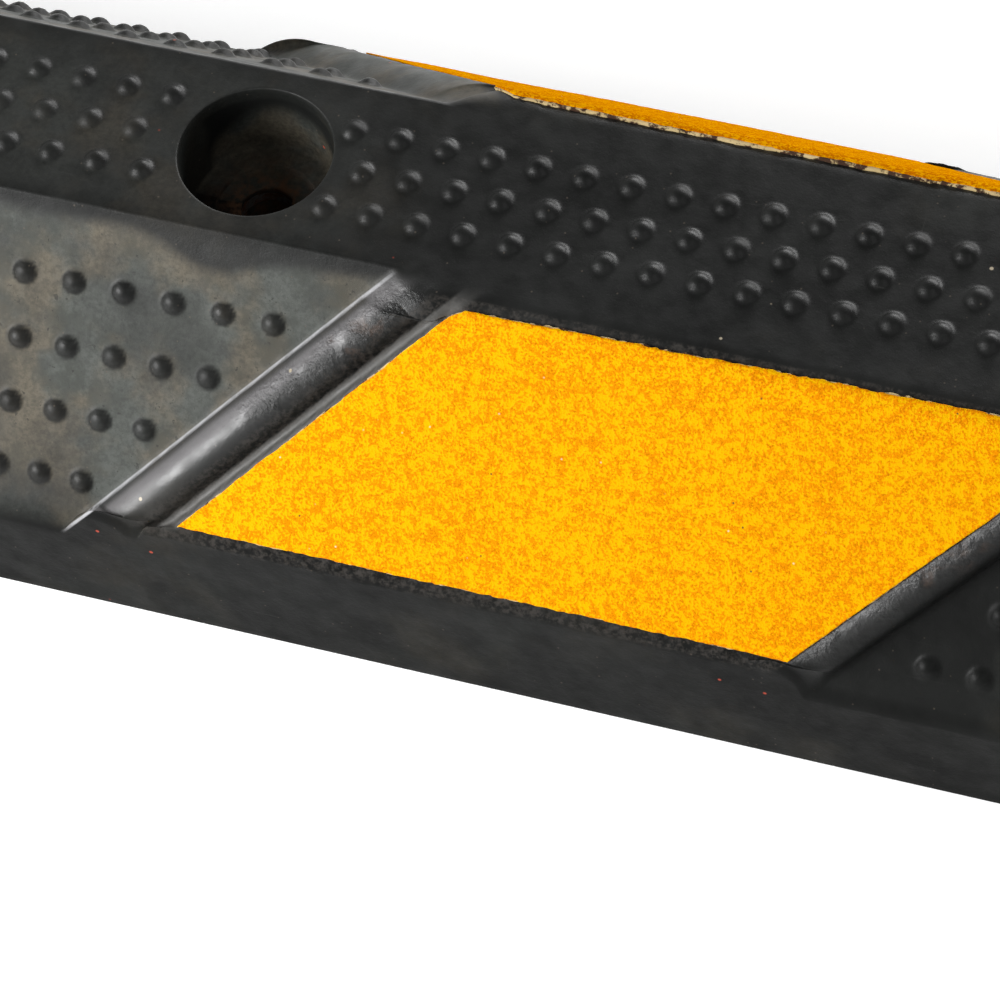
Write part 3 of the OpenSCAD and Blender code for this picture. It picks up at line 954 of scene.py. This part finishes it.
# ----------------------------------------------------------- floor, light, camera
def add_floor():
    mesh = bpy.data.meshes.new("floor")
    half = 6.0
    mesh.from_pydata([(-half, -half, -0.0002), (half, -half, -0.0002),
                      (half, half, -0.0002), (-half, half, -0.0002)], [], [(0, 1, 2, 3)])
    mesh.materials.append(floor_material())
    floor = bpy.data.objects.new("floor", mesh)
    bpy.context.scene.collection.objects.link(floor)


def add_softbox(name, direction, distance, size, watts, target=(-0.19, -0.02, 0.06)):
    light = bpy.data.lights.new(name, "AREA")
    light.shape = "RECTANGLE"
    light.size, light.size_y = size
    light.energy = watts
    lamp = bpy.data.objects.new(name, light)
    back = Vector(direction).normalized()
    lamp.location = Vector(target) + back * distance
    lamp.rotation_mode = "QUATERNION"
    lamp.rotation_quaternion = (-back).to_track_quat("-Z", "Y")
    bpy.context.scene.collection.objects.link(lamp)


def add_world(horizon, zenith):
    world = bpy.data.worlds.new("studio")
    world.use_nodes = True
    tree = world.node_tree
    place = tree.nodes.new("ShaderNodeTexCoord")
    split = tree.nodes.new("ShaderNodeSeparateXYZ")
    tree.links.new(place.outputs["Generated"], split.inputs[0])
    fade = tree.nodes.new("ShaderNodeMapRange")
    tree.links.new(split.outputs["Z"], fade.inputs["Value"])
    for socket, number in zip(fade.inputs[1:5], (0.05, 0.75, horizon, zenith)):
        socket.default_value = number
    tree.links.new(fade.outputs[0], tree.nodes["Background"].inputs["Strength"])
    tree.nodes["Background"].inputs["Color"].default_value = (1, 1, 1, 1)
    bpy.context.scene.world = world


def add_camera(location, azimuth, elevation, roll, lens):
    """A camera that looks from an azimuth and elevation in degrees, turned by a roll."""
    az, el, ro = (math.radians(v) for v in (azimuth, elevation, roll))
    back = Vector((math.sin(az) * math.cos(el), -math.cos(az) * math.cos(el), math.sin(el)))
    right = Vector((math.cos(az), math.sin(az), 0))
    up = back.cross(right)
    turned_right = right * math.cos(ro) + up * math.sin(ro)
    turned_up = up * math.cos(ro) - right * math.sin(ro)
    data = bpy.data.cameras.new("camera")
    data.sensor_width = 36
    data.lens = lens
    data.clip_start, data.clip_end = 0.05, 50
    camera = bpy.data.objects.new("camera", data)
    camera.matrix_world = Matrix([
        (turned_right[k], turned_up[k], back[k], location[k] * MM) for k in range(3)
    ] + [(0, 0, 0, 1)])
    bpy.context.scene.collection.objects.link(camera)
    bpy.context.scene.camera = camera


add_floor()
add_world(horizon=0.6, zenith=0.15)
add_softbox("key", (-0.70, -0.55, 0.46), 0.95, (0.65, 0.45), 14.5)
add_softbox("fill", (0.6, -0.3, 0.74), 1.3, (0.8, 0.8), 2.2)
add_softbox("back", (0.2, 0.95, 0.3), 1.3, (1.2, 0.4), 17)
add_camera((74.4, -637.5, 1017.4), 24.502, 56.399, -8.524, 177.85)
bpy.context.scene.view_settings.view_transform = "Standard"
